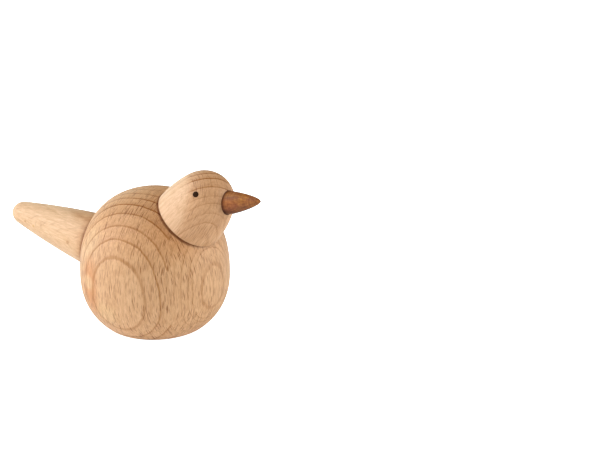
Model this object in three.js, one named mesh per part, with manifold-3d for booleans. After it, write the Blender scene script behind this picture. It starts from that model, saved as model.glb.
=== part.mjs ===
// A small bird turned in wood: a round body on a flat foot, with a domed head, a tapering
// tail, a darker beak and two dark eye pegs, each a piece of its own.
// Millimetres, +Z up, +X towards the beak, +Y the bird's left. The origin is the centre of the foot.

import * as THREE from 'three';
import { ParametricGeometry } from 'three/addons/geometries/ParametricGeometry.js';
import { mergeVertices } from 'three/addons/utils/BufferGeometryUtils.js';
import Module from 'manifold-3d';

const wasm = await Module();
wasm.setup();

const { cos, sin, tan, sqrt, PI } = Math;
const { degToRad: radians, lerp } = THREE.MathUtils;

// Fit between two pieces of wood
const GAP = 0.3;

// Vertices closer than this are one vertex, and a point on the body is found by this many halvings
const MERGE_DISTANCE = 1e-4;
const HALVINGS = 40;

// Body: an upright turning, a little fuller than a ball above its widest circle
const BODY_RADIUS = 35;
const BODY_RISE = 39.9;
const BODY_DROP = 31.6;
const BODY_UPPER_FULLNESS = 2.285;
const BODY_LOWER_FULLNESS = 2.224;
const FOOT_TO_WIDEST = 25.2;
const BODY_SIDES = 72;
const BODY_UPPER_RINGS = 14;
const BODY_LOWER_RINGS = 8;

// Head: a flared neck, swelling a little, under a round dome, leaning forward out of the body
const HEAD_ELEVATION = radians(49.6);
const HEAD_AXIS_ABOVE_WIDEST = 6.2;
const DOME_DISTANCE = 42.4;
const DOME_RADIUS = 14.3;
const DOME_RISE = 15.6;
const NECK_LENGTH = 21;
const NECK_FLARE = radians(8);
const NECK_SWELL = 1;
const HEAD_EDGE_ROUND = 0.9;
const HEAD_SIDES = 48;
const DOME_RINGS = 10;

// Beak: a short shank set into the front of the dome, then a taper to a blunt tip
const BEAK_ELEVATION = radians(11.9);
const BEAK_BELOW_DOME_CENTRE = 0.45;
const BEAK_RADIUS = 5.15;
const BEAK_SHANK_LENGTH = 4.2;
const BEAK_TAPER_FROM_DOME_CENTRE = 16.2;
const BEAK_TAPER_LENGTH = 15.2;
const BEAK_CURVE = 1.13;
const BEAK_BLUNTNESS = 0.61;
const BEAK_SIDES = 32;
const BEAK_RINGS = 12;

// Eyes: round pegs pressed into the sides of the dome
const EYE_RADIUS = 1.3;
const EYE_ABOVE_DOME_CENTRE = 8.9;
const EYE_BEHIND_HEAD_AXIS = 2.1;
const EYE_PEG_DEPTH = 3;
const EYE_CROWN = 0.35;
const EYE_SIDES = 20;
const EYE_RINGS = 3;

// Tail: a long taper with a rounded end, rising backwards from the side of the body
const TAIL_ELEVATION = radians(7.95);
const TAIL_AXIS_ABOVE_WIDEST = 4.2;
const TAIL_ROOT_DISTANCE = 35;
const TAIL_ROOT_RADIUS = 12.9;
const TAIL_REACH = 84.3;
const TAIL_END_RADIUS = 5.7;
const TAIL_END_LENGTH = 6.7;
const TAIL_SWELL = 0.5;
const TAIL_EDGE_ROUND = 0.6;
const TAIL_SIDES = 40;
const TAIL_TAPER_RINGS = 8;
const TAIL_END_RINGS = 7;

// A hidden underside is drawn by these shares of its width, and a rounded edge by these steps
const UNDERSIDE_SHARES = [0.3, 0.6, 0.85];
const EDGE_STEPS = [0, 0.33, 0.67, 1];
const NECK_STEPS = [0.25, 0.5, 0.75];

const WOOD = { color: 0xdcb489, roughness: 0.62, metalness: 0 };
const BEAK_WOOD = { color: 0xa5693f, roughness: 0.6, metalness: 0 };
const EYE_WOOD = { color: 0x2b1a12, roughness: 0.45, metalness: 0 };

// Booleans and meshes

function toSolid(geometry) {
  const bare = geometry.clone();
  bare.deleteAttribute('normal');
  bare.deleteAttribute('uv');
  const merged = mergeVertices(bare, MERGE_DISTANCE);
  const corners = merged.index.array;
  const kept = [];
  for (let i = 0; i < corners.length; i += 3) {
    const [a, b, c] = corners.slice(i, i + 3);
    if (a !== b && b !== c && c !== a) kept.push(a, b, c);
  }
  return new wasm.Manifold(new wasm.Mesh({
    numProp: 3,
    vertProperties: new Float32Array(merged.attributes.position.array),
    triVerts: new Uint32Array(kept),
  }));
}

function toGeometry(solid) {
  const { vertProperties, triVerts } = solid.getMesh();
  const geometry = new THREE.BufferGeometry();
  geometry.setAttribute('position', new THREE.BufferAttribute(vertProperties, 3));
  geometry.setIndex(new THREE.BufferAttribute(triVerts, 1));
  geometry.computeVertexNormals();
  return geometry;
}

// The closed solid of a geometry, less the tools that cut it
function cut(geometry, ...tools) {
  return toGeometry(tools.reduce((left, tool) => left.subtract(toSolid(tool)), toSolid(geometry)));
}

// Turned shapes about +Z: profile points are (radius, height), from the lower pole to the upper

function profilePoint(radius, height) {
  return new THREE.Vector2(radius, height);
}

function turning(profile, sides) {
  return new THREE.LatheGeometry(profile, sides).rotateX(PI / 2);
}

// The tool that bores a straight round hole from a flat floor out to the mouth
function boring(radius, floor, mouth, sides) {
  const corners = [[0, floor], [radius, floor], [radius, mouth], [0, mouth]];
  return turning(corners.map(corner => profilePoint(...corner)), sides);
}

// A turning whose profile changes on the way round, because its lower end is coped to the body
function copedTurning(profileAt, sides) {
  const columns = Array.from({ length: sides }, (_, i) => profileAt(2 * PI * i / sides));
  const steps = columns[0].length - 1;
  const skin = (u, v, target) => {
    const column = Math.round(u * sides) % sides;
    const angle = 2 * PI * column / sides;
    const point = columns[column][Math.round(v * steps)];
    target.set(point.x * cos(angle), point.x * sin(angle), point.y);
  };
  return new ParametricGeometry(skin, sides, steps);
}

// The body's outline: radius at a height measured from its widest circle

function superArc(share, fullness) {
  return Math.max(0, 1 - Math.abs(share) ** fullness) ** (1 / fullness);
}

function bodyProfile() {
  const points = [profilePoint(0, 0)];
  for (let i = 0; i < BODY_LOWER_RINGS; i++) {
    const height = -FOOT_TO_WIDEST * cos(PI / 2 * i / BODY_LOWER_RINGS);
    const radius = BODY_RADIUS * superArc(height / BODY_DROP, BODY_LOWER_FULLNESS);
    points.push(profilePoint(radius, FOOT_TO_WIDEST + height));
  }
  for (let i = 0; i <= BODY_UPPER_RINGS; i++) {
    const rise = BODY_RISE * sin(PI / 2 * i / BODY_UPPER_RINGS);
    const radius = BODY_RADIUS * superArc(rise / BODY_RISE, BODY_UPPER_FULLNESS);
    points.push(profilePoint(radius, FOOT_TO_WIDEST + rise));
  }
  return points;
}

// True inside the body grown by the gap
function insideBody(point) {
  const above = point.z - FOOT_TO_WIDEST;
  const fullness = above > 0 ? BODY_UPPER_FULLNESS : BODY_LOWER_FULLNESS;
  const reach = (above > 0 ? BODY_RISE : BODY_DROP) + GAP;
  const across = Math.hypot(point.x, point.y) / (BODY_RADIUS + GAP);
  return across ** fullness + (Math.abs(above) / reach) ** fullness < 1;
}

// The height along a piece's own axis at which a straight line in its frame leaves the body.
// lineAt(height) gives the line's point in that frame.
function heightOnBody(frame, lineAt) {
  let inside = 0;
  let outside = 2 * BODY_RADIUS;
  for (let i = 0; i < HALVINGS; i++) {
    const middle = (inside + outside) / 2;
    const point = lineAt(middle).applyMatrix4(frame);
    if (insideBody(point)) inside = middle;
    else outside = middle;
  }
  return outside;
}

// The coped underside and the rounded edge where it meets a side of radius sideRadius(height)
function copedEnd(frame, angle, sideRadius, edgeRound) {
  const at = (radius, height) => new THREE.Vector3(radius * cos(angle), radius * sin(angle), height);
  const onBody = radius => profilePoint(radius, heightOnBody(frame, height => at(radius, height)));
  const edgeHeight = heightOnBody(frame, height => at(sideRadius(height), height));
  const edge = profilePoint(sideRadius(edgeHeight), edgeHeight);
  const under = onBody(edge.x - edgeRound);
  const above = profilePoint(sideRadius(edgeHeight + edgeRound), edgeHeight + edgeRound);
  const rounding = new THREE.QuadraticBezierCurve(under, edge, above);
  return [
    onBody(0),
    ...UNDERSIDE_SHARES.map(share => onBody(share * under.x)),
    ...EDGE_STEPS.map(step => rounding.getPoint(step)),
  ];
}

// Frames of the leaning pieces, with +Z along each axis and the origin above the widest circle

function leaningFrame(turn, height) {
  return new THREE.Matrix4().makeRotationY(turn).setPosition(0, 0, height);
}

const HEAD_FRAME = leaningFrame(PI / 2 - HEAD_ELEVATION, FOOT_TO_WIDEST + HEAD_AXIS_ABOVE_WIDEST);
const TAIL_FRAME = leaningFrame(TAIL_ELEVATION - PI / 2, FOOT_TO_WIDEST + TAIL_AXIS_ABOVE_WIDEST);

// Head

// The dome takes over from the neck where both have the same slope
const NECK_TOP_SLOPE = tan(NECK_FLARE) + 4 * NECK_SWELL / NECK_LENGTH;
const NECK_TOP_ANGLE = Math.atan(NECK_TOP_SLOPE * DOME_RISE / DOME_RADIUS);
const NECK_TOP_RADIUS = DOME_RADIUS * cos(NECK_TOP_ANGLE);
const NECK_TOP_HEIGHT = DOME_DISTANCE + DOME_RISE * sin(NECK_TOP_ANGLE);

function neckRadius(height) {
  const share = (NECK_TOP_HEIGHT - height) / NECK_LENGTH;
  const straight = NECK_TOP_RADIUS + tan(NECK_FLARE) * NECK_LENGTH * share;
  return straight + NECK_SWELL * 4 * share * (1 - share);
}

function headProfile(angle) {
  const points = copedEnd(HEAD_FRAME, angle, neckRadius, HEAD_EDGE_ROUND);
  const neckFoot = points.at(-1).y;
  for (const step of NECK_STEPS) {
    const height = lerp(neckFoot, NECK_TOP_HEIGHT, step);
    points.push(profilePoint(neckRadius(height), height));
  }
  for (let i = 0; i <= DOME_RINGS; i++) {
    const lift = lerp(NECK_TOP_ANGLE, PI / 2, i / DOME_RINGS);
    const radius = i < DOME_RINGS ? DOME_RADIUS * cos(lift) : 0;
    points.push(profilePoint(radius, DOME_DISTANCE + DOME_RISE * sin(lift)));
  }
  return points;
}

// Beak, in a frame whose origin is level with the dome's centre

function beakProfile() {
  const back = BEAK_TAPER_FROM_DOME_CENTRE - BEAK_SHANK_LENGTH;
  const points = [profilePoint(0, back), profilePoint(BEAK_RADIUS, back)];
  for (let i = 0; i <= BEAK_RINGS; i++) {
    const share = sin(PI / 2 * i / BEAK_RINGS);
    const radius = i < BEAK_RINGS ? BEAK_RADIUS * (1 - share ** BEAK_CURVE) ** BEAK_BLUNTNESS : 0;
    points.push(profilePoint(radius, BEAK_TAPER_FROM_DOME_CENTRE + BEAK_TAPER_LENGTH * share));
  }
  return points;
}

function beakSeat() {
  const floor = BEAK_TAPER_FROM_DOME_CENTRE - BEAK_SHANK_LENGTH - GAP;
  const mouth = BEAK_TAPER_FROM_DOME_CENTRE + BEAK_TAPER_LENGTH;
  return boring(BEAK_RADIUS + GAP, floor, mouth, BEAK_SIDES);
}

function placeBeak(object) {
  const turn = HEAD_ELEVATION - BEAK_ELEVATION;
  object.rotation.y = turn;
  const forward = BEAK_BELOW_DOME_CENTRE * cos(turn);
  const back = BEAK_BELOW_DOME_CENTRE * sin(turn);
  object.position.set(forward, 0, DOME_DISTANCE - back);
  object.updateMatrix();
}

// Eyes, standing square on the dome

function placeEye(object, side) {
  const height = EYE_ABOVE_DOME_CENTRE;
  const back = -EYE_BEHIND_HEAD_AXIS;
  const out = DOME_RADIUS * sqrt(1 - (height / DOME_RISE) ** 2 - (back / DOME_RADIUS) ** 2);
  const outward = new THREE.Vector3(
    back / DOME_RADIUS ** 2,
    side * out / DOME_RADIUS ** 2,
    height / DOME_RISE ** 2,
  ).normalize();
  object.quaternion.setFromUnitVectors(new THREE.Vector3(0, 0, 1), outward);
  object.position.set(back, side * out, DOME_DISTANCE + height);
  object.updateMatrix();
}

function eyeProfile() {
  const points = [profilePoint(0, -EYE_PEG_DEPTH), profilePoint(EYE_RADIUS, -EYE_PEG_DEPTH)];
  for (let i = 0; i <= EYE_RINGS; i++) {
    const lift = PI / 2 * i / EYE_RINGS;
    const radius = i < EYE_RINGS ? EYE_RADIUS * cos(lift) : 0;
    points.push(profilePoint(radius, EYE_CROWN * sin(lift)));
  }
  return points;
}

function eyeHole() {
  return boring(EYE_RADIUS + GAP, -EYE_PEG_DEPTH - GAP, EYE_PEG_DEPTH, EYE_SIDES);
}

// Tail

function tailRadius(height) {
  const taperEnd = TAIL_REACH - TAIL_END_RADIUS;
  const share = (height - TAIL_ROOT_DISTANCE) / (taperEnd - TAIL_ROOT_DISTANCE);
  const straight = lerp(TAIL_ROOT_RADIUS, TAIL_END_RADIUS, share);
  return straight + TAIL_SWELL * 4 * share * (1 - share);
}

function tailProfile(angle) {
  const points = copedEnd(TAIL_FRAME, angle, tailRadius, TAIL_EDGE_ROUND);
  const taperFoot = points.at(-1).y;
  const endCentre = TAIL_REACH - TAIL_END_LENGTH;
  const endStart = Math.atan((TAIL_ROOT_RADIUS - TAIL_END_RADIUS + 4 * TAIL_SWELL)
    / (TAIL_REACH - TAIL_END_RADIUS - TAIL_ROOT_DISTANCE) * TAIL_END_LENGTH / TAIL_END_RADIUS);
  const taperHead = endCentre + TAIL_END_LENGTH * sin(endStart);
  for (let i = 1; i < TAIL_TAPER_RINGS; i++) {
    const height = lerp(taperFoot, taperHead, i / TAIL_TAPER_RINGS);
    points.push(profilePoint(tailRadius(height), height));
  }
  for (let i = 0; i <= TAIL_END_RINGS; i++) {
    const lift = lerp(endStart, PI / 2, i / TAIL_END_RINGS);
    const radius = i < TAIL_END_RINGS ? TAIL_END_RADIUS * cos(lift) : 0;
    points.push(profilePoint(radius, endCentre + TAIL_END_LENGTH * sin(lift)));
  }
  return points;
}

// Assembly

function addMesh(group, name, geometry, finish) {
  const mesh = new THREE.Mesh(geometry, new THREE.MeshStandardMaterial(finish));
  mesh.name = name;
  group.add(mesh);
  return mesh;
}

function leaningGroup(frame) {
  const group = new THREE.Group();
  frame.decompose(group.position, group.quaternion, group.scale);
  return group;
}

function makeHead() {
  const group = leaningGroup(HEAD_FRAME);
  const beak = addMesh(group, 'beak', cut(turning(beakProfile(), BEAK_SIDES)), BEAK_WOOD);
  placeBeak(beak);
  const holes = [beakSeat().applyMatrix4(beak.matrix)];
  for (const [name, side] of [['eye_left', 1], ['eye_right', -1]]) {
    const eye = addMesh(group, name, cut(turning(eyeProfile(), EYE_SIDES)), EYE_WOOD);
    placeEye(eye, side);
    holes.push(eyeHole().applyMatrix4(eye.matrix));
  }
  addMesh(group, 'head', cut(copedTurning(headProfile, HEAD_SIDES), ...holes), WOOD);
  return group;
}

function makeTail() {
  const group = leaningGroup(TAIL_FRAME);
  addMesh(group, 'tail', cut(copedTurning(tailProfile, TAIL_SIDES)), WOOD);
  return group;
}

const bird = new THREE.Group();
addMesh(bird, 'body', cut(turning(bodyProfile(), BODY_SIDES)), WOOD);
bird.add(makeHead(), makeTail());

export default bird;
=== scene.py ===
# A small turned beech bird in soft white studio light: smooth turned pieces with growth rings,
# ray flecks and fine fibres, a darker beak and near-black eye pegs.
# Metres, +Z up, +X towards the beak, +Y the bird's left. The origin is the centre of the foot.

from math import atan, cos, hypot, pi, radians, sin, sqrt, tan

import bmesh
import bpy
from mathutils import Matrix, Vector


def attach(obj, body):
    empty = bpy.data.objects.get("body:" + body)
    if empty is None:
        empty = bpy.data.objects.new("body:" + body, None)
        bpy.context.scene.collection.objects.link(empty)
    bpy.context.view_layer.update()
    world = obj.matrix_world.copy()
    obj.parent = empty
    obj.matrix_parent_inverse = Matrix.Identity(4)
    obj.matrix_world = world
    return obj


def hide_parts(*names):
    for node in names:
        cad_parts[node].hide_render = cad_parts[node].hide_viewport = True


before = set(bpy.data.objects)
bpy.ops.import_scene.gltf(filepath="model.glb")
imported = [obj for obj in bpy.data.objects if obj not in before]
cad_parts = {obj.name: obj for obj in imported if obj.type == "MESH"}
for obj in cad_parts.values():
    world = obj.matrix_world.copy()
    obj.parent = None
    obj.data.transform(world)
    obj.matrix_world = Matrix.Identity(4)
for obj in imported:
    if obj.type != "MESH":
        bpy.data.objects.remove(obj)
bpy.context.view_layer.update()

MM = 0.001

# The photograph's width and focal length in pixels, the sensor's width in millimetres, and where
# the camera stands. The aim is the spot in the middle of the photograph, measured to the right and
# upwards in it from the centre of the body's widest circle.
PHOTO_WIDTH = 600
PHOTO_FOCAL = 1494
SENSOR = 36
CAMERA_AZIMUTH = radians(30)
CAMERA_ELEVATION = radians(20)
CAMERA_DISTANCE = 700 * MM
AIM_RIGHT = 67.75 * MM
AIM_UP = 21.45 * MM

# Body: an upright turning, a little fuller than a ball above its widest circle
BODY_RADIUS = 35 * MM
BODY_RISE = 39.9 * MM
BODY_DROP = 31.6 * MM
BODY_UPPER_FULLNESS = 2.285
BODY_LOWER_FULLNESS = 2.224
FOOT_TO_WIDEST = 25.2 * MM
FOOT_EDGE_ROUND = 0.7 * MM

# Head: a flared neck, swelling a little, under a round dome
HEAD_ELEVATION = radians(49.6)
HEAD_AXIS_ABOVE_WIDEST = 6.2 * MM
DOME_DISTANCE = 42.4 * MM
DOME_RADIUS = 14.3 * MM
DOME_RISE = 15.6 * MM
NECK_LENGTH = 21 * MM
NECK_FLARE = radians(8)
NECK_SWELL = 1 * MM
HEAD_EDGE_ROUND = 0.9 * MM

# Beak: a short shank in a bored seat, then a taper to a blunt tip
BEAK_ELEVATION = radians(11.9)
BEAK_BELOW_DOME_CENTRE = 0.45 * MM
BEAK_RADIUS = 5.15 * MM
BEAK_SHANK_LENGTH = 4.2 * MM
BEAK_TAPER_FROM_DOME_CENTRE = 16.2 * MM
BEAK_TAPER_LENGTH = 15.2 * MM
BEAK_CURVE = 1.13
BEAK_BLUNTNESS = 0.61
BEAK_SEAT_GAP = 0.25 * MM

# Eyes: round pegs in the sides of the dome
EYE_RADIUS = 1.3 * MM
EYE_ABOVE_DOME_CENTRE = 8.9 * MM
EYE_BEHIND_HEAD_AXIS = 2.1 * MM
EYE_PEG_DEPTH = 3 * MM
EYE_CROWN = 0.35 * MM
EYE_HOLE_GAP = 0.06 * MM
LEFT = 1
RIGHT = -1

# Tail: a long taper with a rounded end
TAIL_ELEVATION = radians(7.95)
TAIL_AXIS_ABOVE_WIDEST = 4.2 * MM
TAIL_ROOT_DISTANCE = 35 * MM
TAIL_ROOT_RADIUS = 12.9 * MM
TAIL_REACH = 84.3 * MM
TAIL_END_RADIUS = 5.7 * MM
TAIL_END_LENGTH = 6.7 * MM
TAIL_SWELL = 0.5 * MM
TAIL_EDGE_ROUND = 0.6 * MM

# The seam between the body and a piece coped to it
SEAM = 0.2 * MM

# Fineness of the turnings
SIDES = 192
SMALL_SIDES = 96
RINGS = 64
EDGE_STEPS = 8
FOOT_STEPS = 4
UNDERSIDE_STEPS = 8
HALVINGS = 26
SHARP_EDGE = radians(40)
WELD = 0.001 * MM


# Turned shapes. A profile is a list of (radius, height) from the lower pole to the upper.

def between(start, end, steps):
    """The numbers from start to end in equal steps, both ends included."""
    return [start + (end - start) * i / steps for i in range(steps + 1)]


def rounding(start, corner, end):
    """Points of the soft curve that takes a profile round a corner."""
    points = []
    for t in between(0, 1, EDGE_STEPS):
        weights = (1 - t) ** 2, 2 * t * (1 - t), t ** 2
        points.append(tuple(sum(w * p[k] for w, p in zip(weights, (start, corner, end))) for k in (0, 1)))
    return points


def turned(name, profile_at, sides, place):
    """A closed turning about its own +Z. The profile may change on the way round: profile_at(angle)."""
    angles = [2 * pi * i / sides for i in range(sides)]
    columns = [profile_at(angle) for angle in angles]
    last = len(columns[0]) - 1
    vertices = [(0, 0, columns[0][0][1])]
    for row in range(1, last):
        for angle, column in zip(angles, columns):
            radius, height = column[row]
            vertices.append((radius * cos(angle), radius * sin(angle), height))
    vertices.append((0, 0, columns[0][last][1]))
    top = len(vertices) - 1
    faces = []
    for i in range(sides):
        j = (i + 1) % sides
        faces.append((0, 1 + j, 1 + i))
        for row in range(last - 2):
            low, high = 1 + row * sides, 1 + (row + 1) * sides
            faces.append((low + i, low + j, high + j, high + i))
        rim = 1 + (last - 2) * sides
        faces.append((top, rim + i, rim + j))
    mesh = bpy.data.meshes.new(name)
    mesh.from_pydata(vertices, [], faces)
    mesh.transform(place)
    smooth(mesh)
    piece = bpy.data.objects.new(name, mesh)
    bpy.context.scene.collection.objects.link(piece)
    return piece


def smooth(mesh):
    mesh.shade_smooth()
    mesh.set_sharp_from_angle(angle=SHARP_EDGE)


def weld(mesh):
    """Joins points that a cut has left on top of each other."""
    work = bmesh.new()
    work.from_mesh(mesh)
    bmesh.ops.remove_doubles(work, verts=work.verts, dist=WELD)
    work.to_mesh(mesh)
    work.free()


def bore(piece, tools):
    """Cuts the tools out of the piece and removes them."""
    for tool in tools:
        cut = piece.modifiers.new(tool.name, "BOOLEAN")
        cut.operation = "DIFFERENCE"
        cut.solver = "EXACT"
        cut.object = tool
    bpy.context.view_layer.update()
    evaluated = piece.evaluated_get(bpy.context.evaluated_depsgraph_get())
    mesh = bpy.data.meshes.new_from_object(evaluated)
    piece.modifiers.clear()
    piece.data = mesh
    weld(mesh)
    smooth(mesh)
    for tool in tools:
        bpy.data.objects.remove(tool)


def hole(name, radius, floor, mouth, place):
    """The tool that bores a straight round hole."""
    profile = [(0, floor), (radius, floor), (radius, mouth), (0, mouth)]
    return turned(name, lambda angle: profile, SMALL_SIDES, place)


# The body's outline. Heights are measured from its widest circle.

def super_arc(share, fullness):
    return max(0, 1 - abs(share) ** fullness) ** (1 / fullness)


def body_radius(above):
    if above > 0:
        return BODY_RADIUS * super_arc(above / BODY_RISE, BODY_UPPER_FULLNESS)
    return BODY_RADIUS * super_arc(above / BODY_DROP, BODY_LOWER_FULLNESS)


def body_profile(angle):
    foot = -FOOT_TO_WIDEST
    edge = body_radius(foot)
    lift = foot + FOOT_EDGE_ROUND
    flat = edge - FOOT_EDGE_ROUND
    points = [(share * flat, foot) for share in between(0, 1, FOOT_STEPS)[:-1]]
    points += rounding((flat, foot), (edge, foot), (body_radius(lift), lift))
    points += [(body_radius(h), h) for h in between(lift, 0, RINGS // 2)[1:]]
    points += [(body_radius(h), h) for h in (BODY_RISE * sin(t) for t in between(0, pi / 2, RINGS)[1:])]
    return [(radius, FOOT_TO_WIDEST + height) for radius, height in points]


def height_on_body(place, line_at):
    """The height along a piece's own axis at which line_at(height), in its frame, leaves the body."""
    inside, outside = 0, 2 * BODY_RADIUS
    for _ in range(HALVINGS):
        middle = (inside + outside) / 2
        point = place @ Vector(line_at(middle))
        above = point.z - FOOT_TO_WIDEST
        if hypot(point.x, point.y) < body_radius(above) + SEAM and above < BODY_RISE:
            inside = middle
        else:
            outside = middle
    return outside


def coped_end(place, angle, side_radius, edge_round):
    """The underside that fits the body, and the rounded edge where it meets the side."""
    def on_body(radius):
        return radius, height_on_body(place, lambda h: (radius * cos(angle), radius * sin(angle), h))

    def on_side(height):
        return side_radius(height) * cos(angle), side_radius(height) * sin(angle), height

    edge_height = height_on_body(place, on_side)
    edge = side_radius(edge_height), edge_height
    under = on_body(edge[0] - edge_round)
    above = side_radius(edge_height + edge_round), edge_height + edge_round
    underside = [on_body(under[0] * share) for share in between(0, 1, UNDERSIDE_STEPS)[:-1]]
    return underside + rounding(under, edge, above)


def leaning(turn, height):
    return Matrix.Translation((0, 0, height)) @ Matrix.Rotation(turn, 4, "Y")


HEAD_PLACE = leaning(pi / 2 - HEAD_ELEVATION, FOOT_TO_WIDEST + HEAD_AXIS_ABOVE_WIDEST)
TAIL_PLACE = leaning(TAIL_ELEVATION - pi / 2, FOOT_TO_WIDEST + TAIL_AXIS_ABOVE_WIDEST)


# Head

NECK_TOP_SLOPE = tan(NECK_FLARE) + 4 * NECK_SWELL / NECK_LENGTH
NECK_TOP_ANGLE = atan(NECK_TOP_SLOPE * DOME_RISE / DOME_RADIUS)
NECK_TOP_RADIUS = DOME_RADIUS * cos(NECK_TOP_ANGLE)
NECK_TOP_HEIGHT = DOME_DISTANCE + DOME_RISE * sin(NECK_TOP_ANGLE)


def neck_radius(height):
    share = (NECK_TOP_HEIGHT - height) / NECK_LENGTH
    straight = NECK_TOP_RADIUS + tan(NECK_FLARE) * NECK_LENGTH * share
    return straight + NECK_SWELL * 4 * share * (1 - share)


def head_profile(angle):
    points = coped_end(HEAD_PLACE, angle, neck_radius, HEAD_EDGE_ROUND)
    neck_foot = points[-1][1]
    points += [(neck_radius(h), h) for h in between(neck_foot, NECK_TOP_HEIGHT, RINGS // 2)[1:-1]]
    for lift in between(NECK_TOP_ANGLE, pi / 2, RINGS // 2):
        points.append((DOME_RADIUS * cos(lift), DOME_DISTANCE + DOME_RISE * sin(lift)))
    return points


def make_head(eye_places, seat_place):
    head = turned("head_wood", head_profile, SIDES, HEAD_PLACE)
    seat_floor = BEAK_TAPER_FROM_DOME_CENTRE - BEAK_SHANK_LENGTH
    seat_mouth = BEAK_TAPER_FROM_DOME_CENTRE + BEAK_TAPER_LENGTH
    tools = [hole("beak_seat", BEAK_RADIUS + BEAK_SEAT_GAP, seat_floor, seat_mouth, seat_place)]
    for i, place in enumerate(eye_places):
        tools.append(hole(f"eye_hole_{i}", EYE_RADIUS + EYE_HOLE_GAP, -EYE_PEG_DEPTH, EYE_PEG_DEPTH, place))
    bore(head, tools)
    return head


# Beak

def beak_place():
    turn = HEAD_ELEVATION - BEAK_ELEVATION
    forward = BEAK_BELOW_DOME_CENTRE * cos(turn)
    back = BEAK_BELOW_DOME_CENTRE * sin(turn)
    foot = Matrix.Translation((forward, 0, DOME_DISTANCE - back))
    return HEAD_PLACE @ foot @ Matrix.Rotation(turn, 4, "Y")


def beak_profile(angle):
    back = BEAK_TAPER_FROM_DOME_CENTRE - BEAK_SHANK_LENGTH + BEAK_SEAT_GAP
    points = [(0, back), (BEAK_RADIUS, back)]
    for share in (sin(t) for t in between(0, pi / 2, RINGS)):
        radius = BEAK_RADIUS * max(0, 1 - share ** BEAK_CURVE) ** BEAK_BLUNTNESS
        points.append((radius, BEAK_TAPER_FROM_DOME_CENTRE + BEAK_TAPER_LENGTH * share))
    return points


# Eyes

def eye_place(side):
    up, back = EYE_ABOVE_DOME_CENTRE, -EYE_BEHIND_HEAD_AXIS
    out = DOME_RADIUS * sqrt(1 - (up / DOME_RISE) ** 2 - (back / DOME_RADIUS) ** 2)
    outward = Vector((back / DOME_RADIUS ** 2, side * out / DOME_RADIUS ** 2, up / DOME_RISE ** 2))
    turn = outward.to_track_quat("Z", "X").to_matrix().to_4x4()
    return HEAD_PLACE @ Matrix.Translation((back, side * out, DOME_DISTANCE + up)) @ turn


def eye_profile(angle):
    foot = -EYE_PEG_DEPTH + EYE_HOLE_GAP
    points = [(0, foot), (EYE_RADIUS, foot)]
    points += [(EYE_RADIUS * cos(t), EYE_CROWN * sin(t)) for t in between(0, pi / 2, RINGS // 4)]
    return points


# Tail

TAIL_TAPER_LENGTH = TAIL_REACH - TAIL_END_RADIUS - TAIL_ROOT_DISTANCE
TAIL_END_SLOPE = (TAIL_ROOT_RADIUS - TAIL_END_RADIUS + 4 * TAIL_SWELL) / TAIL_TAPER_LENGTH
TAIL_END_ANGLE = atan(TAIL_END_SLOPE * TAIL_END_LENGTH / TAIL_END_RADIUS)


def tail_radius(height):
    share = (height - TAIL_ROOT_DISTANCE) / TAIL_TAPER_LENGTH
    straight = TAIL_ROOT_RADIUS + (TAIL_END_RADIUS - TAIL_ROOT_RADIUS) * share
    return straight + TAIL_SWELL * 4 * share * (1 - share)


def tail_profile(angle):
    points = coped_end(TAIL_PLACE, angle, tail_radius, TAIL_EDGE_ROUND)
    taper_foot = points[-1][1]
    end_centre = TAIL_REACH - TAIL_END_LENGTH
    taper_head = end_centre + TAIL_END_LENGTH * sin(TAIL_END_ANGLE)
    points += [(tail_radius(h), h) for h in between(taper_foot, taper_head, RINGS // 2)[1:-1]]
    for lift in between(TAIL_END_ANGLE, pi / 2, RINGS // 4):
        points.append((TAIL_END_RADIUS * cos(lift), end_centre + TAIL_END_LENGTH * sin(lift)))
    return points


# Materials

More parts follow.
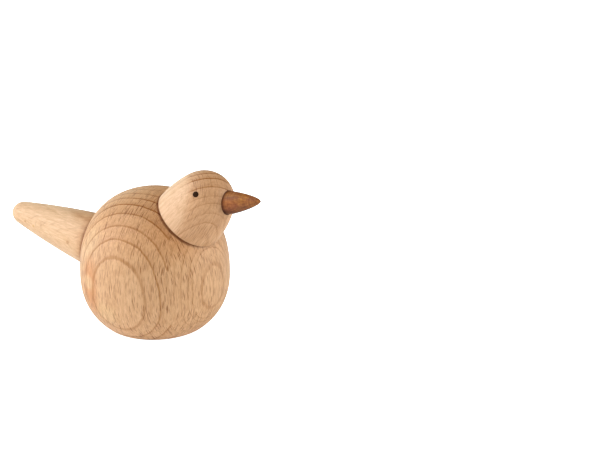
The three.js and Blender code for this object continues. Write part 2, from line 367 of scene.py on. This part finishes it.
class Nodes:
    """The nodes of one material. A value is a number, a tuple or another node's output."""

    def __init__(self, name):
        self.material = bpy.data.materials.new(name)
        self.material.use_nodes = True
        self.tree = self.material.node_tree
        self.shader = self.tree.nodes["Principled BSDF"]

    def put(self, socket, value):
        if isinstance(value, bpy.types.NodeSocket):
            self.tree.links.new(value, socket)
        else:
            socket.default_value = value

    def add(self, kind, values, output=0, **settings):
        """A node of that kind with these inputs, by number or by name. Gives its output."""
        node = self.tree.nodes.new(kind)
        for key, value in settings.items():
            setattr(node, key, value)
        for key, value in values.items():
            self.put(node.inputs[key], value)
        return node.outputs[output]

    def math(self, operation, *values):
        return self.add("ShaderNodeMath", dict(enumerate(values)), operation=operation)

    def vector(self, operation, *values):
        return self.add("ShaderNodeVectorMath", dict(enumerate(values)), operation=operation)

    def scaled(self, vector, factor):
        return self.add("ShaderNodeVectorMath", {"Vector": vector, "Scale": factor}, operation="SCALE")

    def length(self, vector):
        return self.add("ShaderNodeVectorMath", {0: vector}, "Value", operation="LENGTH")

    def along(self, vector, direction):
        values = {0: vector, 1: direction}
        return self.add("ShaderNodeVectorMath", values, "Value", operation="DOT_PRODUCT")

    def step(self, value, low, high):
        """0 at low, 1 at high and a soft change in between."""
        ends = {"Value": value, "From Min": low, "From Max": high}
        return self.add("ShaderNodeMapRange", ends, interpolation_type="SMOOTHSTEP")

    def noise(self, vector, detail=2, output=0):
        """Soft noise about 0.5, with features about one unit of the vector across."""
        values = {"Vector": vector, "Scale": 1, "Detail": detail}
        return self.add("ShaderNodeTexNoise", values, output)

    def blend(self, factor, low, high):
        """A number that goes from low to high."""
        return self.add("ShaderNodeMix", {0: factor, 2: low, 3: high})

    def mix(self, factor, low, high, **settings):
        """A colour that goes from low to high."""
        values = {0: factor, 6: low, 7: high}
        return self.add("ShaderNodeMix", values, 2, data_type="RGBA", **settings)

    def tint(self, colour, factor, shade, strength=1):
        """The colour multiplied by shade, as far as factor times strength says."""
        if strength != 1:
            factor = self.math("MULTIPLY", factor, strength)
        return self.mix(factor, colour, shade, blend_type="MULTIPLY")

    def curve(self, value, spots):
        """A smooth curve through the spots, which run from 0 to 1 along."""
        node = self.tree.nodes.new("ShaderNodeFloatCurve")
        line = node.mapping.curves[0]
        line.points[0].location, line.points[1].location = spots[0], spots[-1]
        for place in spots[1:-1]:
            line.points.new(*place)
        for point in line.points:
            point.handle_type = "AUTO_CLAMPED"
        node.mapping.update()
        self.put(node.inputs["Value"], value)
        return node.outputs[0]


# Wood. Lengths are in millimetres in the piece's own frame, whose +Z is its turning axis and its
# grain. An azimuth is in degrees, from the frame's +X towards its +Y. A size is measured along X,
# Y and Z, and a shade is a colour that multiplies the one under it. Of two limits the first is
# where a thing isn't there yet, and the second where it shows in full.

class RingSystem:
    """Growth rings about a far pith, which lies pith away from the piece's axis at the height
    centre. lean is how far the grain leans towards it. lines are (depth, darkness): how far from
    the axis towards the pith a ring's line lies at that height, and how dark it is. first is the
    count at the line nearest the pith."""

    def __init__(self, azimuth, pith, lean, centre, lines, first=0):
        self.azimuth = radians(azimuth)
        self.pith = pith
        self.lean = lean
        self.centre = centre
        self.lines = sorted(lines)
        self.first = first


class Pattern:
    """Soft noise in the wood: the size of its features, its fine detail, the limits between which
    it shows, and the shade and strength of its tint. A shift gives another part of the noise."""

    def __init__(self, size, detail, limits, shade=None, strength=1, shift=0):
        self.size = size
        self.detail = detail
        self.limits = limits
        self.shade = shade
        self.strength = strength
        self.shift = shift

    def noise(self, s, point, seed=0):
        return s.noise(stretched(s, point, self.size, self.shift + seed), self.detail)

    def shown(self, s, noise):
        return s.step(noise, *self.limits)

    def tint(self, s, colour, noise):
        return s.tint(colour, self.shown(s, noise), self.shade, self.strength)


# How far towards the pith, and away from it, a ring system reaches
RING_RANGE = 40

# A ring's line, by how much of the ring has passed, and the slow darkening before it
LINE_RISE = (0.78, 0.92)
LINE_FALL = (1.0, 0.96)
LATE_WOOD = 0.4
LATE_WOOD_POWER = 2
LATE_SHADE = (0.54, 0.36, 0.15, 1)

# The lines are darker in one patch than in another
PATCH = (7, 7, 12)
PATCH_LEAST = 0.55
PATCH_SPAN = 0.9

# Where two ring systems meet: by how many rings one is ahead, and how far the corner is rounded
TAKE_OVER = (-0.7, 0.7)
TAKE_OVER_ROUNDING = 0.6

# How the grain wanders
WAVE = (16, 16, 30)
WAVE_REACH = 1.3
RIPPLE = (2.2, 2.2, 5)
RIPPLE_REACH = 0.45
JITTER = (0.5, 0.5, 1.6)
JITTER_REACH = 0.22

# Ray flecks, one to a cell. Their limits are distances from the cell's centre in cells, with each
# direction weighted, and a chance is a cell's random number.
RAY = (4, 0.44, 6.4)
SMALL_RAY = (3, 0.38, 3.2)
RAY_SHEAR = 3
RAY_WEIGHTS = (0.4, 1, 1)
RAY_LIMITS = (0.37, 0.2)
RAY_CHANCE = (0.25, 0.95)
RAY_SHADE = (0.36, 0.21, 0.1, 1)
SMALL_RAY_SHARE = 0.35
SMALL_RAY_SHIFT = 3
SECOND_RAY_SHIFT = 5

FIBRE = Pattern(size=(0.55, 0.55, 9), detail=4, limits=(0.72, 0.28), shade=(0.86, 0.81, 0.74, 1))
STREAK = Pattern(size=(1.1, 1.1, 26), detail=3, limits=(0.7, 0.3), shade=(0.9, 0.86, 0.81, 1))
MOTTLE = Pattern(size=(13, 13, 40), detail=2, limits=(0.7, 0.3), shade=(0.95, 0.93, 0.9, 1))
PORE = Pattern(size=(0.22, 0.22, 1.3), detail=2, limits=(0.6, 0.75), shade=RAY_SHADE, strength=0.4)

# Limits of the slope that counts as facing up, and of a mark in shares of its size
TOP_LIMITS = (0.1, 0.7)
MARK_LIMITS = (1.0, 0.3)

# The relief's height in full, and how deep each pattern cuts into it
RELIEF = 0.05 * MM
WOOD_BUMP = 0.5
RAY_DEPTH = 0.5
PORE_DEPTH = 0.6
LINE_DEPTH = 0.3

# The least roughness, and how much the fibre adds
WOOD_ROUGHNESS = (0.4, 0.25)
WOOD_GLOSS = 0.3


def own_frame(s, place):
    """The point in a piece's own frame, in millimetres."""
    point = s.add("ShaderNodeTexCoord", {}, "Object")
    values = {"Vector": point, "Location": place.translation, "Rotation": place.to_euler()}
    local = s.add("ShaderNodeMapping", values, vector_type="TEXTURE")
    return s.scaled(local, 1 / MM)


def off_axis(s, point):
    """How far the point lies from the Z axis of its frame."""
    return s.length(s.vector("MULTIPLY", point, (1, 1, 0)))


def stretched(s, point, size, shift=0):
    """The point measured in features of that size, moved along to another part of the pattern."""
    return s.vector("MULTIPLY_ADD", point, [1 / x for x in size], (shift, shift, shift))


def wander(s, point, size, reach, shift):
    """A shift of up to about half of reach across the grain, which changes over that size."""
    noise = s.noise(stretched(s, point, size, shift), detail=1, output="Color")
    centred = s.vector("SUBTRACT", noise, (0.5, 0.5, 0.5))
    return s.vector("MULTIPLY", centred, (reach, reach, 0))


def growth(s, point, rings):
    """How many rings have passed on the way in to the pith, and how dark the lines are there."""
    inward = Vector((cos(rings.azimuth), sin(rings.azimuth), 0))
    pith = inward * rings.pith + Vector((0, 0, rings.centre))
    grain = (Vector((0, 0, 1)) + inward * rings.lean).normalized()
    across = s.vector("CROSS_PRODUCT", s.vector("SUBTRACT", point, pith), grain)
    depth = s.math("SUBTRACT", rings.pith, s.length(across))
    # The curves run along from 0, at a depth of -RING_RANGE, to 1 at RING_RANGE
    share = s.math("MULTIPLY_ADD", depth, 0.5 / RING_RANGE, 0.5)
    places = [0.5 + 0.5 * line / RING_RANGE for line, darkness in rings.lines]
    darknesses = [darkness for line, darkness in rings.lines]
    last = len(rings.lines) + 1
    counts = [(i + 1) / last for i in range(last - 1)]
    count = s.curve(share, [(0, 0), *zip(places, counts), (1, 1)])
    dark = s.curve(share, [(0, darknesses[0]), *zip(places, darknesses), (1, darknesses[-1])])
    return s.math("MULTIPLY_ADD", count, last, rings.first - last + 1), dark


def ring_lines(s, point, count, dark, seed):
    """Late wood: it deepens slowly towards a ring's end, where a dark line stops sharply."""
    part = s.math("FRACT", count)
    line = s.math("MULTIPLY", s.step(part, *LINE_RISE), s.step(part, *LINE_FALL))
    bloom = s.math("MULTIPLY", s.math("POWER", part, LATE_WOOD_POWER), LATE_WOOD)
    patches = s.noise(stretched(s, point, PATCH, seed))
    patchy = s.math("MULTIPLY_ADD", patches, PATCH_SPAN, PATCH_LEAST)
    return s.math("MULTIPLY", s.math("MAXIMUM", line, bloom), s.math("MULTIPLY", dark, patchy))


def ray_flecks(s, point, rings, size, seed):
    """Dark dashes along the grain: rays, thin sheets that run in towards the pith. The shear keeps
    neighbours from starting side by side."""
    values = {"Vector": point, "Angle": -rings.azimuth}
    facing = s.add("ShaderNodeVectorRotate", values, rotation_type="Z_AXIS")
    climb = s.scaled((0, 0, RAY_SHEAR), s.along(facing, (0, 1, 0)))
    cell = stretched(s, s.vector("ADD", facing, climb), size, seed)
    centre = s.add("ShaderNodeTexVoronoi", {"Vector": cell, "Scale": 1}, "Position")
    apart = s.vector("MULTIPLY", s.vector("SUBTRACT", cell, centre), RAY_WEIGHTS)
    ray = s.step(s.length(apart), *RAY_LIMITS)
    chance = s.step(s.along(centre.node.outputs["Color"], (1, 0, 0)), *RAY_CHANCE)
    return s.math("MULTIPLY", ray, chance)


def all_rays(s, point, rings, seed):
    """Large ray flecks with small ones between them."""
    small = ray_flecks(s, point, rings, SMALL_RAY, seed + SMALL_RAY_SHIFT)
    large = ray_flecks(s, point, rings, RAY, seed)
    return s.math("MAXIMUM", large, s.math("MULTIPLY", small, SMALL_RAY_SHARE))


def two_growths(s, rippled, waved, rings, second, seed):
    """The count of rings, how dark their lines are, and the ray flecks. The second ring system
    takes over where more of its rings have passed."""
    count, dark = growth(s, rippled, rings)
    dashes = all_rays(s, waved, rings, seed)
    if second:
        other, other_dark = growth(s, rippled, second)
        ahead = s.step(s.math("SUBTRACT", other, count), *TAKE_OVER)
        count = s.math("SMOOTH_MAX", count, other, TAKE_OVER_ROUNDING)
        dark = s.blend(ahead, dark, other_dark)
        dashes = s.blend(ahead, dashes, all_rays(s, waved, second, seed + SECOND_RAY_SHIFT))
    return count, dark, dashes


def marked(s, colour, point, marks_and_painted_light):
    """The colour made paler or darker in soft patches: knots and stains, painted shade and painted light.
    Each is (centre, size, shade).
    """
    for centre, size, shade in marks_and_painted_light:
        apart = s.vector("MULTIPLY", s.vector("SUBTRACT", point, centre), [1 / x for x in size])
        colour = s.tint(colour, s.step(s.length(apart), *MARK_LIMITS), shade)
    return colour


def finish_wood(s, colour, fibre, roughness, height, bump, gloss):
    least, added = roughness
    relief = {"Strength": bump, "Distance": RELIEF, "Height": height}
    s.put(s.shader.inputs["Base Color"], colour)
    s.put(s.shader.inputs["Roughness"], s.math("MULTIPLY_ADD", fibre, added, least))
    s.put(s.shader.inputs["Specular IOR Level"], gloss)
    s.put(s.shader.inputs["Normal"], s.add("ShaderNodeBump", relief))
    return s.material


def beech(name, place, rings, light, second=None, seed=0, rays=1,
          side=None, top=None, painted_shadows=(), marks_and_painted_light=()):
    """Turned beech. light is the early wood's colour, second another ring system, and rays how
    strong the flecks are. side gives a paler side with fainter lines, and top darkens what faces up:
    end grain, and partly painted shade of the upper side. The painted shadows where pieces meet are
    (where, limits, shade), and the patches are as marked takes them."""
    s = Nodes(name)
    point = own_frame(s, place)
    waved = s.vector("ADD", point, wander(s, point, WAVE, WAVE_REACH, seed))
    rippled = s.vector("ADD", waved, wander(s, point, RIPPLE, RIPPLE_REACH, seed))
    rippled = s.vector("ADD", rippled, wander(s, point, JITTER, JITTER_REACH, seed))
    count, dark, dashes = two_growths(s, rippled, waved, rings, second, seed)
    lines = ring_lines(s, point, count, dark, seed)
    fibre = FIBRE.noise(s, waved, seed)
    pores = PORE.noise(s, waved, seed)

    colour = MOTTLE.tint(s, light, MOTTLE.noise(s, point, seed))
    if side:
        pale = side(s, rippled)
        fainter = s.math("MULTIPLY_ADD", pale, -PALE_SIDE_FADING, 1)
        lines = s.math("MULTIPLY", lines, fainter)
        dashes = s.math("MULTIPLY", dashes, fainter)
        colour = s.tint(colour, pale, PALE_SIDE_SHADE)
    colour = s.tint(colour, lines, LATE_SHADE)
    colour = s.tint(colour, dashes, RAY_SHADE, rays)
    colour = FIBRE.tint(s, colour, fibre)
    colour = STREAK.tint(s, colour, STREAK.noise(s, waved, seed))
    colour = PORE.tint(s, colour, pores)
    # Darker where the surface faces up: end grain, and partly painted shade of the upper side
    if top:
        facing = s.along(s.add("ShaderNodeTexCoord", {}, "Normal"), place.col[2].xyz)
        colour = s.tint(colour, s.step(facing, *TOP_LIMITS), top)
    colour = marked(s, colour, rippled, marks_and_painted_light)
    # Painted shadow where the piece meets another
    for where, limits, shade in painted_shadows:
        colour = s.tint(colour, where(s, limits), shade)

    ray_cuts = s.math("MULTIPLY", dashes, RAY_DEPTH)
    pore_cuts = s.math("MULTIPLY", PORE.shown(s, pores), PORE_DEPTH)
    line_cuts = s.math("MULTIPLY", lines, LINE_DEPTH)
    cuts = s.math("ADD", s.math("ADD", ray_cuts, pore_cuts), line_cuts)
    height = s.math("SUBTRACT", fibre, cuts)
    return finish_wood(s, colour, fibre, WOOD_ROUGHNESS, height, WOOD_BUMP, WOOD_GLOSS)


# Where pieces meet, a shadow is painted into the colour. Each function gives 1 in the crease
# and fades out by the limits, which are distances in millimetres.

# Where the painted shadow round the beak starts along the beak's axis, and where the one round
# the head ends towards the breast and starts along the head's axis
ROUND_BEAK_FROM = (4, 8)
ROUND_HEAD_BEHIND = (16, 8)
ROUND_HEAD_ABOVE = (10, 20)


def stand_off(s):
    """About how far the point stands off the body's surface, in millimetres."""
    point = s.vector("SUBTRACT", s.add("ShaderNodeTexCoord", {}, "Object"), (0, 0, FOOT_TO_WIDEST))
    out = s.length(s.vector("MULTIPLY", point, (1 / BODY_RADIUS, 1 / BODY_RADIUS, 0)))
    height = s.along(point, (0, 0, 1 / BODY_RISE))
    depth = s.along(point, (0, 0, -1 / BODY_DROP))
    up = s.math("MAXIMUM", height, depth)
    both = s.math("ADD", *(s.math("POWER", share, BODY_UPPER_FULLNESS) for share in (out, up)))
    swell = s.math("POWER", both, 1 / BODY_UPPER_FULLNESS)
    return s.math("MULTIPLY_ADD", swell, BODY_RADIUS / MM, -BODY_RADIUS / MM)


def near_body(s, limits):
    """The edge of a piece that comes down on the body, where a shadow is painted."""
    return s.step(stand_off(s), *limits)


def round_beak(s, limits):
    """The mouth of the beak's seat, on the head, where a shadow is painted."""
    point = own_frame(s, beak_place())
    in_front = s.step(s.along(point, (0, 0, 1)), *ROUND_BEAK_FROM)
    gap = s.math("SUBTRACT", off_axis(s, point), (BEAK_RADIUS + BEAK_SEAT_GAP) / MM)
    return s.math("MULTIPLY", s.step(gap, *limits), in_front)


def round_head(s, limits):
    """The head's edge on the body, where a shadow is painted. It fades out towards the breast, and
    leaves out the body's far side."""
    point = own_frame(s, HEAD_PLACE)
    height = s.along(point, (0, 0, 1))
    share = s.math("MULTIPLY_ADD", height, -MM / NECK_LENGTH, NECK_TOP_HEIGHT / NECK_LENGTH)
    bow = s.math("MULTIPLY", s.math("SUBTRACT", 1, share), 4 * NECK_SWELL / MM)
    widening = s.math("MULTIPLY", share, s.math("ADD", bow, tan(NECK_FLARE) * NECK_LENGTH / MM))
    wider = s.math("SUBTRACT", off_axis(s, point), NECK_TOP_RADIUS / MM)
    gap = s.math("SUBTRACT", wider, widening)
    behind = s.step(s.along(point, (1, 0, 0)), *ROUND_HEAD_BEHIND)
    above = s.step(height, *ROUND_HEAD_ABOVE)
    return s.math("MULTIPLY", s.step(gap, *limits), s.math("MULTIPLY", behind, above))


# Painted shadows where pieces meet: a dark one, a softer one, and a faint one that the body casts on the
# tail
PAINTED_CREASE_SHADOW = (0.32, 0.18, 0.1, 1)
SOFT_PAINTED_SHADOW = (0.45, 0.33, 0.25, 1)
SHADOW_SHADE = (0.8, 0.7, 0.6, 1)

BODY_PAINTED_SHADOWS = (
    (round_head, (0.8, 0.0), SOFT_PAINTED_SHADOW),
)
HEAD_PAINTED_SHADOWS = (
    (near_body, (0.95, 0.5), PAINTED_CREASE_SHADOW),
    (round_beak, (0.2, 0.0), PAINTED_CREASE_SHADOW),
)
TAIL_PAINTED_SHADOWS = (
    (near_body, (2.8, 0.6), SOFT_PAINTED_SHADOW),
    (near_body, (6.0, 1.0), SHADOW_SHADE),
)


# The beech pieces

BODY_BEECH = (0.722, 0.449, 0.254, 1)
HEAD_BEECH = (0.70, 0.423, 0.242, 1)
TAIL_BEECH = (0.76, 0.51, 0.315, 1)
# Darker where the body faces up: end grain, and partly painted shade of the upper side
BODY_TOP_GRAIN_AND_PAINTED_SHADE = (0.97, 0.9, 0.82, 1)

HEAD_SEED = 11
HEAD_RAYS = 0.55
TAIL_SEED = 23
TAIL_RAYS = 0.2

BODY_RINGS = RingSystem(
    azimuth=-85.4, pith=165, lean=0.055, centre=FOOT_TO_WIDEST / MM,
    lines=((32.1, 0.52), (28, 0.66), (23.8, 0.68), (18.4, 0.78), (13.4, 1.3), (8.6, 1.0),
           (4.1, 0.8), (-1, 0.65), (-6, 0.5), (-10, 0.6), (-15, 0.5), (-19, 0.6),
           (-24, 0.6), (-28, 0.5), (-33, 0.5)),
)
CHEST_RINGS = RingSystem(
    azimuth=-5.5, pith=120, lean=0.009, centre=FOOT_TO_WIDEST / MM, first=3,
    lines=((34.2, 0.4), (31.95, 0.5), (30.9, 0.5), (28.7, 0.38), (26.5, 0.32), (24.3, 0.3),
           (22, 0.3), (18, 0.3), (13, 0.35), (8, 0.4), (3, 0.4), (-2, 0.4),
           (-8, 0.4), (-14, 0.45), (-20, 0.45), (-27, 0.4), (-34, 0.4)),
)
HEAD_RINGS = RingSystem(
    azimuth=-38, pith=300, lean=0.065, centre=46.8,
    lines=((17.2, 0.15), (15, 0.45), (13, 0.3), (10.2, 0.4), (7.7, 0.35), (3.8, 0.65),
           (-0.8, 1.2), (-4.5, 1.1), (-8, 0.5), (-11.5, 0.45), (-15, 0.4)),
)
TAIL_RINGS = RingSystem(
    azimuth=10, pith=90, lean=0.02, centre=TAIL_ROOT_DISTANCE / MM,
    lines=((11, 0.25), (7.5, 0.15), (4.5, 0.12), (0.5, 0.12), (-3, 0.12), (-7, 0.15),
           (-10.5, 0.15)),
)

BODY_STAINS_AND_PAINTED_LIGHT = (
    # Painted shade on the body under the head
    ((22, -14, 52), (17, 15, 16), (0.94, 0.88, 0.8, 1)),
    # Painted shade on the upper body
    ((-1, -20, 58), (17, 13, 12), (0.95, 0.93, 0.88, 1)),
    # A paler, cooler patch higher up the side
    ((-15, -27, 46), (9, 9, 12), (1.0, 1.07, 1.11, 1)),
    # Painted light: a paler patch low on the side
    ((-4, -33, 15), (10, 9, 8), (1.04, 1.09, 1.07, 1)),
    # An orange patch with a whitish spot, and a dark speck
    ((-14, -31.5, 25.5), (8.5, 8.5, 20), (0.93, 0.74, 0.58, 1)),
    ((-15, -31.5, 27.5), (6, 6, 5), (1.12, 1.42, 1.75, 1)),
    ((-20.5, -28.5, 29), (1.6, 2.2, 4), (0.84, 0.76, 0.68, 1)),
)
HEAD_MARKS = (
    # Darker on the head's lower front, under the beak
    ((13.5, -4, 47), (7, 7, 8), (0.89, 0.86, 0.83, 1)),
)
TAIL_KNOTS_AND_PAINTED_SHADOW = (
    # Small dark knots
    ((0.3, -11.8, 42.2), (1.1, 1.1, 1.6), (0.74, 0.62, 0.5, 1)),
    ((-0.4, -6.8, 71.9), (0.9, 0.9, 1.2), (0.74, 0.62, 0.44, 1)),
    ((-0.5, -8.0, 65.9), (0.9, 0.9, 1.0), (0.84, 0.75, 0.52, 1)),
    # Painted shadow of the body on the tail's top near its root
    ((11.9, -0.9, 39.0), (5, 9, 12), (0.84, 0.75, 0.65, 1)),
)

PALE_SIDE = Vector((0.68, 0.71, 0.19))
PALE_SIDE_LIMITS = (-0.5, -4.0)
PALE_SIDE_SHADE = (1.1, 1.2, 1.32, 1)
PALE_SIDE_FADING = 0.8


def pale_side(s, point):
    """1 on one side of a plane through the head, which is paler and has fainter lines."""
    return s.step(s.along(point, PALE_SIDE), *PALE_SIDE_LIMITS)


# Darker woods

BEAK_RED = (0.395, 0.143, 0.045, 1)
BEAK_ORANGE = (0.51, 0.212, 0.045, 1)
BEAK_SHADE = (0.6, 0.5, 0.4, 1)
# Painted shade on the beak's underside
BEAK_PAINTED_UNDERSIDE_LIMITS = (-0.5, 4.5)
BEAK_UNDERSIDE_PAINTED_SHADE = (0.46, 0.37, 0.32, 1)
# Painted shadow where the beak comes out of its seat, by distance from the frame's origin
BEAK_BASE_PAINTED_SHADOW = (16.2, 15.4)
BEAK_MARKS = (
    ((-2.5, -3, 24.5), (3, 3, 3.2), (1.15, 1.16, 0.9, 1)),
    ((0, -5, 18), (4.5, 4.5, 5.5), (0.98, 0.86, 1.1, 1)),
    ((-4, -3, 17), (3.5, 3.5, 5), (1.1, 1.2, 1.15, 1)),
)
BEAK_WAVE = (5, 5, 9)
BEAK_WAVE_REACH = 1.2
BEAK_WAVE_SHIFT = 2
BEAK_PATCH = Pattern(size=(4, 4, 7), detail=2, limits=(0.35, 0.65), shift=3)
BEAK_BAND = Pattern(size=(20, 20, 0.7), detail=3, limits=(0.6, 0.35),
                    shade=BEAK_SHADE, strength=0.6, shift=1)
BEAK_STREAK = Pattern(size=(0.9, 0.35, 9), detail=4, limits=(0.65, 0.3),
                      shade=BEAK_SHADE, shift=2)
BEAK_FIBRE = Pattern(size=(0.3, 0.3, 4), detail=3, limits=(0.7, 0.3),
                     shade=BEAK_SHADE, strength=0.6, shift=7)
BEAK_PORE = Pattern(size=(0.2, 0.2, 1.2), detail=2, limits=(0.58, 0.72),
                    shade=BEAK_SHADE, strength=0.5, shift=4)
BEAK_PORE_DEPTH = 0.7
BEAK_ROUGHNESS = (0.42, 0.2)

EYE_DARK = (0.022, 0.009, 0.003, 1)
EYE_BROWN = (0.05, 0.022, 0.009, 1)
EYE_PORE = Pattern(size=(0.18, 0.18, 3), detail=3, limits=(0.45, 0.7), shift=1)
EYE_BUMP = 0.3
EYE_ROUGHNESS = (0.4, 0.2)
EYE_GLOSS = 0.06


def beak_wood(name, place):
    """Reddish brown wood with fine straight grain."""
    s = Nodes(name)
    point = own_frame(s, place)
    waved = s.vector("ADD", point, wander(s, point, BEAK_WAVE, BEAK_WAVE_REACH, BEAK_WAVE_SHIFT))
    streaks = BEAK_STREAK.noise(s, waved)
    fibre = BEAK_FIBRE.noise(s, waved)
    pores = BEAK_PORE.noise(s, waved)
    patches = BEAK_PATCH.shown(s, BEAK_PATCH.noise(s, point))
    colour = marked(s, s.mix(patches, BEAK_RED, BEAK_ORANGE), waved, BEAK_MARKS)
    # Painted shade, darker towards the underside
    underside = s.step(s.along(point, (1, 0, 0)), *BEAK_PAINTED_UNDERSIDE_LIMITS)
    colour = s.tint(colour, underside, BEAK_UNDERSIDE_PAINTED_SHADE)
    colour = BEAK_BAND.tint(s, colour, BEAK_BAND.noise(s, point))
    colour = BEAK_STREAK.tint(s, colour, streaks)
    colour = BEAK_FIBRE.tint(s, colour, fibre)
    colour = BEAK_PORE.tint(s, colour, pores)
    # Painted shadow at the beak's base
    colour = s.tint(colour, s.step(s.length(point), *BEAK_BASE_PAINTED_SHADOW), SOFT_PAINTED_SHADOW)
    pore_cuts = s.math("MULTIPLY", BEAK_PORE.shown(s, pores), BEAK_PORE_DEPTH)
    height = s.math("SUBTRACT", streaks, pore_cuts)
    return finish_wood(s, colour, fibre, BEAK_ROUGHNESS, height, WOOD_BUMP, WOOD_GLOSS)


def eye_wood(name, place):
    """Almost black end grain."""
    s = Nodes(name)
    pores = EYE_PORE.noise(s, own_frame(s, place))
    colour = s.mix(EYE_PORE.shown(s, pores), EYE_DARK, EYE_BROWN)
    return finish_wood(s, colour, pores, EYE_ROUGHNESS, pores, EYE_BUMP, EYE_GLOSS)


# Studio

SOFTBOX_DISTANCE = 900 * MM
SOFTBOX_SIZE = 700 * MM

# Name, azimuth and elevation in degrees, and the power of the red, green and blue part in watts
SOFTBOXES = (
    ("left_back", -120, 15, (1.6, 2.15, 2.0)),
    ("left", -60, 12, (4.6, 5.2, 6.1)),
    ("left_front", 0, 15, (1.9, 1.6, 1.35)),
    ("right", 120, 12, (7.5, 7.45, 7.2)),
    ("high_left", -60, 50, (5.9, 6.2, 6.3)),
    ("high_front", 30, 50, (2.1, 2.0, 1.85)),
)

# The floor glows a little onto the bird. SEEN_WHITE is added to the glow for the eye alone.
FLOOR_RADIUS = 3.0
FLOOR_SIDES = 96
FLOOR_DROP = 0.02 * MM
FLOOR_WHITE = (0.9, 0.9, 0.9, 1)
FLOOR_ROUGHNESS = 0.9
FLOOR_GLOW = 0.3
GLOW_COLOUR = (0.84, 0.96, 1.0, 1)
SEEN_WHITE = 0.9
SKY_WHITE = (1, 1, 1, 1)
SKY_LIGHT = 0.02


def place_camera():
    right = Vector((cos(CAMERA_AZIMUTH), sin(CAMERA_AZIMUTH), 0))
    level = Vector((sin(CAMERA_AZIMUTH), -cos(CAMERA_AZIMUTH), 0))
    back = level * cos(CAMERA_ELEVATION) + Vector((0, 0, sin(CAMERA_ELEVATION)))
    up = back.cross(right)
    camera = bpy.data.objects.new("camera", bpy.data.cameras.new("camera"))
    camera.data.sensor_width = SENSOR
    camera.data.lens = SENSOR * PHOTO_FOCAL / PHOTO_WIDTH
    turn = Matrix((right, up, back)).transposed().to_4x4()
    aim = Vector((0, 0, FOOT_TO_WIDEST)) + right * AIM_RIGHT + up * AIM_UP
    camera.matrix_world = Matrix.Translation(aim + back * CAMERA_DISTANCE) @ turn
    bpy.context.scene.collection.objects.link(camera)
    bpy.context.scene.camera = camera


def softbox(name, azimuth, elevation, powers):
    """A square area light that faces the bird from that direction."""
    data = bpy.data.lights.new(name, "AREA")
    data.size = SOFTBOX_SIZE
    data.energy = max(powers)
    data.color = [power / max(powers) for power in powers]
    light = bpy.data.objects.new(name, data)
    a, e = radians(azimuth), radians(elevation)
    away = Vector((sin(a) * cos(e), -cos(a) * cos(e), sin(e)))
    light.location = Vector((0, 0, FOOT_TO_WIDEST)) + away * SOFTBOX_DISTANCE
    light.rotation_mode = "QUATERNION"
    light.rotation_quaternion = away.to_track_quat("Z", "Y")
    bpy.context.scene.collection.objects.link(light)


def lay_floor():
    angles = [2 * pi * i / FLOOR_SIDES for i in range(FLOOR_SIDES)]
    rim = [(FLOOR_RADIUS * cos(angle), FLOOR_RADIUS * sin(angle), -FLOOR_DROP) for angle in angles]
    mesh = bpy.data.meshes.new("floor")
    mesh.from_pydata(rim, [], [tuple(range(FLOOR_SIDES))])
    floor = bpy.data.objects.new("floor", mesh)
    bpy.context.scene.collection.objects.link(floor)
    s = Nodes("white_floor")
    seen = s.add("ShaderNodeLightPath", {}, "Is Camera Ray")
    glow = s.math("MULTIPLY_ADD", seen, SEEN_WHITE, FLOOR_GLOW)
    s.put(s.shader.inputs["Base Color"], FLOOR_WHITE)
    s.put(s.shader.inputs["Roughness"], FLOOR_ROUGHNESS)
    s.put(s.shader.inputs["Emission Color"], GLOW_COLOUR)
    s.put(s.shader.inputs["Emission Strength"], glow)
    mesh.materials.append(s.material)


def light_sky():
    """A white surround for the eye, which adds little light of its own."""
    world = bpy.data.worlds.new("studio")
    world.use_nodes = True
    tree = world.node_tree
    seen = tree.nodes.new("ShaderNodeLightPath").outputs["Is Camera Ray"]
    strength = tree.nodes.new("ShaderNodeMath")
    strength.operation = "MAXIMUM"
    strength.inputs[1].default_value = SKY_LIGHT
    tree.links.new(seen, strength.inputs[0])
    sky = tree.nodes["Background"]
    sky.inputs["Color"].default_value = SKY_WHITE
    tree.links.new(strength.outputs[0], sky.inputs["Strength"])
    bpy.context.scene.world = world


def light_studio():
    bpy.context.scene.view_settings.view_transform = "Standard"
    light_sky()
    for box in SOFTBOXES:
        softbox(*box)


# Assembly

def dress(piece, material, node):
    piece.data.materials.append(material)
    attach(piece, "root")
    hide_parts(node)


def make_bird():
    upright = Matrix()
    wood = beech("body_beech", upright, BODY_RINGS, BODY_BEECH, second=CHEST_RINGS,
                 top=BODY_TOP_GRAIN_AND_PAINTED_SHADE, painted_shadows=BODY_PAINTED_SHADOWS, marks_and_painted_light=BODY_STAINS_AND_PAINTED_LIGHT)
    dress(turned("body_wood", body_profile, SIDES, upright), wood, "body")

    eyes = {"eye_left": eye_place(LEFT), "eye_right": eye_place(RIGHT)}
    wood = beech("head_beech", HEAD_PLACE, HEAD_RINGS, HEAD_BEECH, seed=HEAD_SEED, rays=HEAD_RAYS,
                 side=pale_side, painted_shadows=HEAD_PAINTED_SHADOWS, marks_and_painted_light=HEAD_MARKS)
    dress(make_head(list(eyes.values()), beak_place()), wood, "head")

    wood = beech("tail_beech", TAIL_PLACE, TAIL_RINGS, TAIL_BEECH, seed=TAIL_SEED, rays=TAIL_RAYS,
                 painted_shadows=TAIL_PAINTED_SHADOWS, marks_and_painted_light=TAIL_KNOTS_AND_PAINTED_SHADOW)
    dress(turned("tail_wood", tail_profile, SIDES, TAIL_PLACE), wood, "tail")

    beak = turned("beak_wood", beak_profile, SMALL_SIDES, beak_place())
    dress(beak, beak_wood("beak_brown", beak_place()), "beak")
    for node, place in eyes.items():
        peg = turned(node + "_peg", eye_profile, SMALL_SIDES, place)
        dress(peg, eye_wood(node + "_dark", place), node)


place_camera()
lay_floor()
light_studio()
make_bird()
